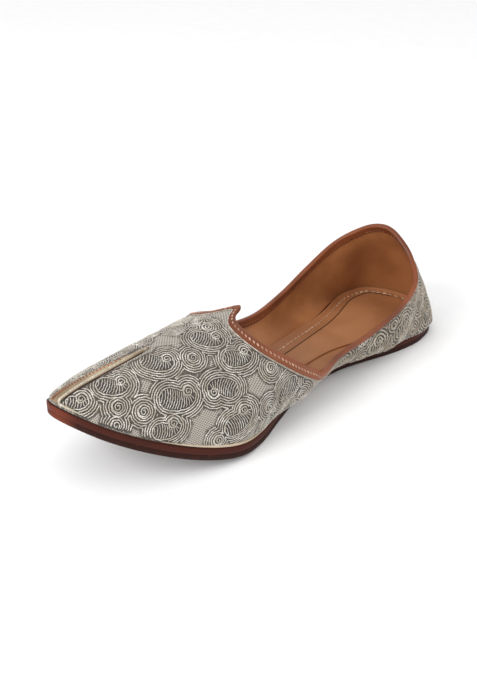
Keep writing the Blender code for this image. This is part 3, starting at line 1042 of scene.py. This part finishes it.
def binding_profile():
    """Closed section of the folded strip: share of its depth, offset from the wall, lift above it."""
    inner_face = WALL + BINDING_INNER_GAP
    outer_skin = GAP + BINDING_THICKNESS
    inner_skin = inner_face + BINDING_THICKNESS
    middle = (outer_skin - inner_skin) / 2
    radius = (outer_skin + inner_skin) / 2
    depths = (0.97, 0.75, 0.5, 0.25)
    bevel = 0.35 * BINDING_THICKNESS
    skin = [(1.0, outer_skin - bevel, 0.0)] + [(depth, outer_skin, 0.0) for depth in depths]
    for angle in np.linspace(0, np.pi, 9):
        skin.append((0.0, middle + radius * math.cos(angle), outer_skin * math.sin(angle)))
    skin += [(depth, -inner_skin, 0.0) for depth in reversed(depths)] + [(1.0, bevel - inner_skin, 0.0)]
    back = [(depth, -inner_face, 0.0) for depth in (1.0, 0.5, 0.0)]
    back.append((0.0, -WALL / 2, GAP))
    back += [(depth, GAP, 0.0) for depth in (0.0, 0.5, 1.0)]
    return skin + back


def binding_depth(share, inside):
    """Width of the folded strip: narrow outside on the quarters, short inside under the beak."""
    if inside:
        return BINDING_INSIDE * (1 - BEAK_SHORTENING * smooth_step(share, BEAK_CHANGE))
    forward = smooth_step(share, BINDING_CHANGE)
    return BINDING_ON_QUARTERS + (BINDING_ON_THROAT - BINDING_ON_QUARTERS) * forward


def binding_point(share, side, depth_share, offset, lift):
    """Points of the folded strip."""
    rise = rise_at(share, side, below=depth_share * binding_depth(share, offset < 0))
    points, normal, climb, travel = on_upper(share, side, rise, offset)
    return points + climb * lift


def make_binding():
    """Leather strip folded over the collar and the throat."""
    share, side = loop_places(BINDING_STEPS)
    rings = [binding_point(share, side, *row) for row in binding_profile()]
    faces = loft_faces(len(rings), len(share), True)
    tan = leather("binding leather", srgb(130, 70, 38), srgb(96, 48, 26), 1100, 0.36, 0.06 * MM)
    binding = new_piece("collar_binding_leather", np.array(rings), faces, [tan])
    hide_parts("collar_binding")


def plate_ring(share, side, inset, height):
    along, out = outline_point(share, inset)
    return place(along, side * out + heel_swing(along), sole_bottom(along) + height)


def cap(ring, across, lift, first, flip):
    """Points and faces that close a ring in rows from its outer to its inner side."""
    steps = len(ring) // 2
    part = np.arange(1, across) / across
    outer, inner = ring[1:steps, None], ring[:steps:-1, None]
    extra = outer * (1 - part)[:, None] + inner * part[:, None]
    extra[..., 2] += lift(extra, part)
    extra = extra.reshape(-1, 3)
    row = np.arange(steps + 1)
    number = np.tile(row[:, None], across + 1)
    number[1:-1, 1:-1] = len(ring) + np.arange(len(extra)).reshape(steps - 1, across - 1)
    number[1:-1, -1] = len(ring) - row[1:-1]
    corners = [number[:-1, :-1], number[1:, :-1], number[1:, 1:], number[:-1, 1:]]
    quads = first + np.stack(corners[::-1] if flip else corners, axis=-1).reshape(-1, 4)
    return extra, [list(dict.fromkeys(quad)) for quad in quads.tolist()]


def make_plate(name, rings, across, lift, material):
    """Closed plate along the sole from rings of (inset by share and side, height), lowest first."""
    share, side = loop_places(PLATE_STEPS)
    loops = [plate_ring(share, side, inset(share, side), height) for inset, height in rings]
    faces = loft_faces(len(loops), len(share), False).tolist()
    under_faces = cap(loops[0], 1, flat_top, 0, False)[1]
    over, over_faces = cap(loops[-1], across, lift, (len(loops) - 1) * len(share), True)
    points = np.concatenate(loops + [over])
    return new_piece(name, points, faces + under_faces + over_faces, [material]), loops


def flat_top(points, part):
    return 0.0


def make_outsole():
    """Sole with a rounded lower edge, a groove round its side and a dressed top edge."""
    rounding, chamfer, groove = 0.9 * MM, 0.45 * MM, 0.35 * MM
    groove_low, groove_high = 3.4 * MM, 3.9 * MM

    def level(inset):
        return lambda share, side: inset
    rings = []
    for turn in np.linspace(0, np.pi / 2, 5):
        rings.append((level(rounding * (1 - math.sin(turn))), rounding * (1 - math.cos(turn))))
    rings += [
        (level(0.0), groove_low),
        (level(groove), (groove_low + groove_high) / 2),
        (level(0.0), groove_high),
        (level(0.0), SOLE_THICKNESS - chamfer),
        (level(chamfer), SOLE_THICKNESS),
    ]
    outsole, loops = make_plate("outsole_leather", rings, 1, flat_top, sole_leather())
    heights = np.repeat([height / MM for inset, height in rings], 2 * PLATE_STEPS)
    along = np.concatenate(loops)[:, 0] - HEEL.x
    give_values(outsole, "level", heights)
    give_values(outsole, "tip", smooth_step(along / LENGTH, TIP_LIGHTENING))
    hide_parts("outsole")


# Dark brown for the lines that paint shadow in gaps and grooves.
def shadow_line_leather():
    return leather("shadow line leather", srgb(62, 36, 24), srgb(42, 24, 16), 1200, 0.7, 0.03 * MM)


def make_feather_seam():
    """Dark sewn line that closes the upper down on the sole; its dark colour is painted shadow under
    the upper's edge.
    """
    inward, overhang, radius = 0.6 * MM, 0.3 * MM, 0.7 * MM
    share, side = (np.append(places, places[0]) for places in loop_places(SEAM_LINE_SAMPLES))
    inset = np.maximum(feather_inset(share) + inward, -overhang)
    path = plate_ring(share, side, inset, SOLE_THICKNESS + sole_gap(share) / 2)
    join_tubes("feather_seam_shadow", [level_tube(path, radius)], shadow_line_leather())


def insole_inset(share):
    """Inset of the insole, drawn back at the toe where the upper closes down."""
    toe = smooth_step(share, INSOLE_TOE_CHANGE)
    return feather_inset(share) + WALL + 2 * GAP + INSOLE_TOE_INSET * toe


def insole_flare(share, side):
    """How far the insole's border leans past its foot: out at the outer waist, in at the heel."""
    forward = smooth_step(share, FLARE_START)
    spread = INSOLE_FLARE * (forward - smooth_step(share, FLARE_END))
    return np.where(side < 0, 0.0, spread) - INSOLE_HEEL_LEAN * (1 - forward)


def insole_height(distance):
    """Height of the insole's cupped border at a distance from its edge."""
    part = (distance - INSOLE_ROUNDING) / (INSOLE_LIP_WIDTH - INSOLE_ROUNDING)
    lip = INSOLE_LIP * (1 - np.clip(part, 0, 1)) ** 1.5
    return SOLE_THICKNESS + GAP + INSOLE_THICKNESS + lip


def make_insole():
    """Insole with its leather border, cupped up along the wall."""
    tan = leather("insole leather", srgb(166, 111, 72), srgb(140, 90, 56), 1000, 0.5, 0.05 * MM)
    base, rounding = SOLE_THICKNESS + GAP, INSOLE_ROUNDING
    top = base + INSOLE_THICKNESS + INSOLE_LIP

    def foot(share, side):
        return insole_inset(share)

    def lip(distance):
        part = (INSOLE_LIP_WIDTH - distance) / INSOLE_LIP_WIDTH
        return lambda share, side: insole_inset(share) - insole_flare(share, side) * part + distance
    rings = [
        (foot, base),
        (foot, base + INSOLE_FOOT),
        (lip(0.0), top - rounding),
        (lip(0.3 * rounding), top - 0.3 * rounding),
    ]
    for distance in np.linspace(rounding, INSOLE_LIP_WIDTH, 6):
        rings.append((lip(distance), insole_height(distance)))
    insole = make_plate("insole_border", rings, 1, flat_top, tan)[0]
    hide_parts("insole")


# The sock's heights, its crown and its two creases, given by shares along and across
SOCK_BASE = SOLE_THICKNESS + INSOLE_THICKNESS + 2 * GAP
SOCK_TOP = SOCK_BASE + SOCK_THICKNESS
SOCK_CROWN = 0.5 * MM
SOCK_CREASES = [((0.36, 0.30), (0.47, 0.75)), ((0.40, 0.20), (0.52, 0.55))]
SOCK_CREASE_WIDTH = 1.6 * MM
SOCK_CREASE_DEPTH = 0.3 * MM


def sock_lift(points, part):
    """Crown of the padded sock and its two pressed creases."""
    half_width = BALL_WIDTH / 2
    places = np.stack(np.broadcast_arrays(points[..., 0] - HEEL.x, part * half_width), axis=-1)
    lift = SOCK_CROWN * (1 - (2 * part - 1) ** 4)
    for crease in SOCK_CREASES:
        start, end = np.array(crease) * np.array([LENGTH, half_width])
        run = end - start
        share = np.clip((places - start) @ run / (run @ run), 0.0, 1.0)
        distance = lengths(places - start - share[..., None] * run)
        trough = np.exp(-(distance / SOCK_CREASE_WIDTH) ** 2) * np.sin(np.pi * share)
        lift = lift - SOCK_CREASE_DEPTH * trough
    return lift


def sock_inset(share, side):
    """Inset of the sock, which lies nearer the outer side at the waist."""
    return insole_inset(share) + SOCK_INSET - side * SOCK_SHIFT * np.sin(np.pi * share)


def make_sock():
    """Padded leather sock over the middle of the insole, with a rounded rim on its outer side."""
    tan = leather("sock leather", srgb(172, 118, 78), srgb(150, 98, 62), 850, 0.5, 0.05 * MM)
    rounding = 0.7 * MM
    rings = [(sock_inset, SOCK_BASE), (sock_inset, SOCK_TOP - rounding)]
    for turn in np.linspace(0, np.pi / 2, 4)[1:]:
        edge = rounding * (1 - math.cos(turn))
        height = SOCK_TOP - rounding * (1 - math.sin(turn))
        rings.append((lambda share, side, edge=edge: sock_inset(share, side) + edge, height))
    sock = make_plate("sock_pad", rings, SOCK_COLUMNS, sock_lift, tan)[0]
    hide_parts("sock")
    outward, rim_height, radius = 0.3 * MM, 0.2 * MM, 0.8 * MM
    share = np.linspace(0.16, 0.84, RIM_SAMPLES)
    path = plate_ring(share, 1, sock_inset(share, 1) - outward, SOCK_BASE + rim_height)
    join_tubes("sock_rim", [level_tube(path, radius)], tan, 8)


STITCHES_FROM_EDGE = 5.2 * MM
STITCH_ROOM = 1.4 * MM


def make_insole_stitches():
    """Running stitches along the insole's border, longer and thicker round the heel."""
    pitch, lift, most_slant, length_spread = 4.1 * MM, 0.1 * MM, 0.25, 0.5 * MM
    share, side = loop_places(BORDER_SAMPLES)
    into = STITCHES_FROM_EDGE
    path = plate_ring(share, side, insole_inset(share) + into, insole_height(into) + lift)
    along = unit(np.roll(path, -1, axis=0) - np.roll(path, 1, axis=0))
    clear = sock_inset(share, side) - insole_inset(share) > into + STITCH_ROOM
    heel = 1 - smooth_step(share, HEEL_STITCH_FADE)
    shortest, width = (2.4 + 0.7 * heel) * MM, (0.95 + 0.5 * heel) * MM
    chance = np.random.default_rng(5)
    tubes = []
    for n in evenly(path, pitch):
        if clear[n]:
            slant = along[n] + most_slant * (chance.random() - 0.5) * np.cross(UP, along[n])
            length = shortest[n] + length_spread * chance.random()
            tubes.append(stitch(path[n], UP, unit(slant), length, width[n]))
    cotton = thread("insole thread", srgb(232, 200, 166), srgb(196, 152, 114), 0.6, 0.0)
    join_tubes("insole_stitches", tubes, cotton)


def make_sock_groove():
    """Dark line along the sock's edge at the heel and the inner side: painted shadow in the groove
    there.
    """
    start, end, inward, depth = -0.16, 0.80, 0.45 * MM, 0.15 * MM
    thin, thick = 0.08 * MM, 0.42 * MM
    reach = np.linspace(start, end, SEAM_LINE_SAMPLES)
    share, side = np.abs(reach), np.where(reach < 0, 1.0, -1.0)
    radius = thin + (thick - thin) * smooth_step(reach, (start, 0.0))
    path = plate_ring(share, side, sock_inset(share, side) + inward, SOCK_TOP - depth)
    join_tubes("sock_groove_shadow", [level_tube(path, radius)], shadow_line_leather())


# Stitch rows on the binding: the shares where a row starts and ends, and its sizes
BindingRow = namedtuple("BindingRow", "name start end depth pitch slant length width")
THROAT_ROW = BindingRow("throat_stitches", 0.47, 0.985, 2.7 * MM, 2.7 * MM, 0.7, 2.0 * MM, 0.9 * MM)
FACING_ROW = BindingRow("facing_stitches", 0.015, 0.455, 3.8 * MM, 2.4 * MM, 0.0, 1.8 * MM, 0.5 * MM)


def stitch_binding(row, offset, material):
    """One row of stitches along both sides of the binding, on its outer or its inner skin."""
    tubes = []
    for side in (1, -1):
        share = np.linspace(row.start, row.end, STITCH_ROW_SAMPLES)
        rise = rise_at(share, side, below=row.depth)
        path, normal, climb, travel = on_upper(share, side, rise, offset)
        facing = np.sign(offset) * normal
        slant = unit(travel + row.slant * climb)
        for n in evenly(path, row.pitch):
            tubes.append(stitch(path[n], facing[n], slant[n], row.length, row.width))
    join_tubes(row.name, tubes, material)


def make_binding_stitches():
    """Slanted stitches along the throat and a fine row inside along the quarters."""
    cotton = thread("binding thread", srgb(226, 190, 166), srgb(188, 140, 112), 0.6, 0.0)
    brown = thread("facing thread", srgb(166, 110, 72), srgb(126, 78, 48), 0.6, 0.0)
    stitch_binding(THROAT_ROW, GAP + BINDING_THICKNESS, cotton)
    stitch_binding(FACING_ROW, -(WALL + BINDING_INNER_GAP + BINDING_THICKNESS), brown)


def make_edge_cord():
    """Pale cord that finishes the cloth against the binding, thinner along the quarters."""
    tubes = []
    for side in (1, -1):
        for start, end, radius in ((0.0, 0.455, 0.28 * MM), (0.475, 1.0, 0.42 * MM)):
            share = np.linspace(start, end, CORD_SAMPLES)
            rise = rise_at(share, side, below=binding_depth(share, False) + radius)
            path, normal = on_upper(share, side, rise, 0.5 * radius)[:2]
            tubes.append(Tube(path, normal, radius))
    cream = thread("edge thread", srgb(224, 214, 200), srgb(184, 168, 150), 0.5, 0.1)
    join_tubes("edge_cord", tubes, cream, stitch_length=STITCH_LENGTH)


def beside_toe(rise, distance, offset):
    """Points and normals of the upper beside the toe line, distances positive on the outer side."""
    rise, distance, offset = np.broadcast_arrays(rise, distance, offset)
    side = np.where(distance >= 0, 1.0, -1.0)
    shares = np.linspace(1.0, 0.8, LINE_SAMPLES)
    points = upper_point(shares[:, None], side, rise)
    runs = lengths(points - points[0])
    share = np.array([np.interp(want, run, shares) for want, run in zip(np.abs(distance), runs.T)])
    return on_upper(share, side, rise, offset)[:2]


def tape_half_width(rise):
    """Half width of the toe tape, which narrows to a point toward the throat."""
    part = np.clip((rise - SEAM_START) / (SEAM_END - SEAM_START), 0, 1)
    return SEAM_HALF_WIDTH * (1 - part ** 3) + SEAM_TIP_HALF_WIDTH


def make_toe_tape():
    """Raised woven tape along the toe's middle seam."""
    rows, columns = 70, 9
    count = 2 * columns
    rises = np.linspace(SEAM_START, SEAM_END, rows)
    column = np.linspace(-1, 1, columns)
    height = GAP + np.concatenate([SEAM_HEIGHT * (1 - 0.75 * column ** 4), np.zeros(columns)])
    distance = np.outer(tape_half_width(rises), np.concatenate([column, column[::-1]]))
    points = beside_toe(np.repeat(rises, count), distance.ravel(), np.tile(height, rows))[0]
    faces = loft_faces(rows, count, False).tolist()
    faces.append(list(range(count))[::-1])
    faces.append(list(range((rows - 1) * count, rows * count)))
    gold = leather("seam tape", srgb(166, 148, 122), srgb(100, 80, 58), 800, 0.55, 0.2 * MM)
    tape = new_piece("toe_tape", points, faces, [gold])
    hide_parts("toe_seam")


def make_toe_cords():
    """Cream cord along the tape's outer edge and round the toe, with a dark tube beside it that paints
    the shadow in the groove there.
    """
    inward, lift, foot, radius = 0.9 * MM, 0.8 * MM, 1.6 * MM, 0.65 * MM
    tape_rises = np.linspace(SEAM_END - 0.01, 0.10, 90)
    toe_shares = np.linspace(0.975, 0.935, 40)
    on_tape = beside_toe(tape_rises, np.maximum(tape_half_width(tape_rises) - inward, 0), lift)
    on_toe = on_upper(toe_shares, 1, rise_at(toe_shares, 1, above=foot), lift)[:2]
    path, normals = (np.vstack(parts) for parts in zip(on_tape, on_toe))
    taper = np.clip(np.linspace(len(path), 0, len(path)) / 20, 0.3, 1)
    cream = thread("cream cord", srgb(232, 222, 202), srgb(196, 182, 158), 0.55, 0.05)
    cord = Tube(path, normals, radius * taper)
    join_tubes("toe_cord", [cord], cream, 8, STITCH_LENGTH)
    # Dark tube beside the tape: painted shadow in the groove.
    beside, sunk_lift, groove_radius = 0.1 * MM, 0.1 * MM, 0.42 * MM
    rises = np.linspace(SEAM_END - 0.03, 0.14, 80)
    groove = Tube(*beside_toe(rises, tape_half_width(rises) + beside, sunk_lift), groove_radius)
    join_tubes("toe_groove_shadow", [groove], shadow_line_leather())


def make_tape_stitches():
    """Brown stitches across the toe tape."""
    start, end, length, width = 0.7 * MM, 1.7 * MM, 2.0 * MM, 0.8 * MM
    rises = np.linspace(SEAM_START + 0.03, SEAM_END - 0.12, 26)
    top = GAP + SEAM_HEIGHT
    points, normals = beside_toe(rises, -start, top)
    across = unit(beside_toe(rises, -end, top)[0] - points)
    tubes = [stitch(*row, length, width) for row in zip(points, normals, across)]
    brown = thread("tape thread", srgb(178, 104, 64), srgb(128, 76, 46), 0.5, 0.15)
    join_tubes("tape_stitches", tubes, brown)


def make_hem():
    """Plain folded hem of the cloth that shows above the sole beside the ball."""
    cotton = leather("hem cotton", srgb(204, 188, 166), srgb(176, 156, 132), 1600, 0.75, 0.08 * MM)
    start, end, foot, tallest = 0.57, 0.82, 0.2 * MM, 1.5 * MM
    section = ((0.0, 0.0), (0.0, 0.5), (0.5, 0.7), (0.9, 0.5), (1.0, 0.0))
    share = np.linspace(start, end, HEM_STEPS)
    swell = np.sin(np.pi * np.linspace(0, 1, HEM_STEPS)) ** 0.7
    strips = []
    for side in (1, -1):
        rings = []
        for height, offset in section:
            rise = rise_at(share, side, above=foot + tallest * height * swell)
            rings.append(on_upper(share, side, rise, offset * MM * swell)[0])
        strips.append(np.stack(rings[::side], axis=1).reshape(-1, 3))
    strip = loft_faces(HEM_STEPS, len(section), False)[:, ::-1]
    faces = np.concatenate([strip, strip + len(strips[0])])
    new_piece("hem_strip", np.concatenate(strips), faces, [cotton])


# Stage

def make_floor():
    material, tree, shader = new_material("floor", Roughness=0.9)
    speckle = soft_range(tree, noise(tree, 40, 2), 0.0, 1.0)
    colour = mix_colours(tree, speckle, srgb(250, 250, 250), srgb(246, 246, 246))
    tree.links.new(colour, shader.inputs["Base Color"])
    mesh = bpy.data.meshes.new("floor")
    half = 6.0
    corners = [(-half, -half, 0), (half, -half, 0), (half, half, 0), (-half, half, 0)]
    mesh.from_pydata(corners, [], [(0, 1, 2, 3)])
    mesh.materials.append(material)
    floor = add_object("floor", mesh)


def add_area_light(name, place_m, size, power):
    light = bpy.data.lights.new(name, "AREA")
    light.size = size
    light.energy = power
    lamp = add_object(name, light)
    lamp.location = place_m
    lamp.rotation_mode = "QUATERNION"
    lamp.rotation_quaternion = (-Vector(place_m)).to_track_quat("-Z", "Y")


def make_lights():
    """Soft studio light: a bright room, a broad light before the toe and one beside the heel."""
    world = bpy.data.worlds.new("studio")
    world.use_nodes = True
    background = world.node_tree.nodes["Background"]
    background.inputs["Color"].default_value = (1, 1, 1, 1)
    background.inputs["Strength"].default_value = 0.95
    bpy.context.scene.world = world
    add_area_light("toe side", (1.1, -0.1, 0.75), 0.7, 10)
    add_area_light("heel side", (-0.35, 0.9, 0.75), 0.7, 2)


def make_camera():
    """Camera at the photo's angle to the shoe."""
    azimuth, elevation, roll = (math.radians(angle) for angle in (42.58, 30.26, 0.66))
    forward = -Vector((
        math.cos(azimuth) * math.cos(elevation),
        math.sin(azimuth) * math.cos(elevation),
        math.sin(elevation),
    ))
    level_right = forward.cross(Vector((0, 0, 1))).normalized()
    level_up = level_right.cross(forward)
    right = level_right * math.cos(roll) + level_up * math.sin(roll)
    up = level_up * math.cos(roll) - level_right * math.sin(roll)
    data = bpy.data.cameras.new("camera")
    data.lens = 49.63
    data.clip_start = 0.01
    camera = add_object("camera", data)
    camera.location = Vector((503.2, 308.3, 310.0)) * MM + Vector((HEEL.x, HEEL.y, 0))
    camera.rotation_mode = "QUATERNION"
    camera.rotation_quaternion = Matrix((right, up, -forward)).transposed().to_quaternion()
    bpy.context.scene.camera = camera


def main():
    bpy.context.scene.view_settings.view_transform = "Standard"
    vamp, quarters = make_patches()
    vamp_tubes = embroidery_tubes(vamp, True)
    quarter_tubes = embroidery_tubes(quarters, False)
    make_embroidery(vamp_tubes, quarter_tubes)
    make_upper(vamp + quarters, vamp_tubes + quarter_tubes)
    make_binding()
    make_binding_stitches()
    make_edge_cord()
    make_outsole()
    make_feather_seam()
    make_insole()
    make_insole_stitches()
    make_sock()
    make_sock_groove()
    make_toe_tape()
    make_toe_cords()
    make_tape_stitches()
    make_hem()
    make_floor()
    make_lights()
    make_camera()
    bpy.context.view_layer.update()


main()
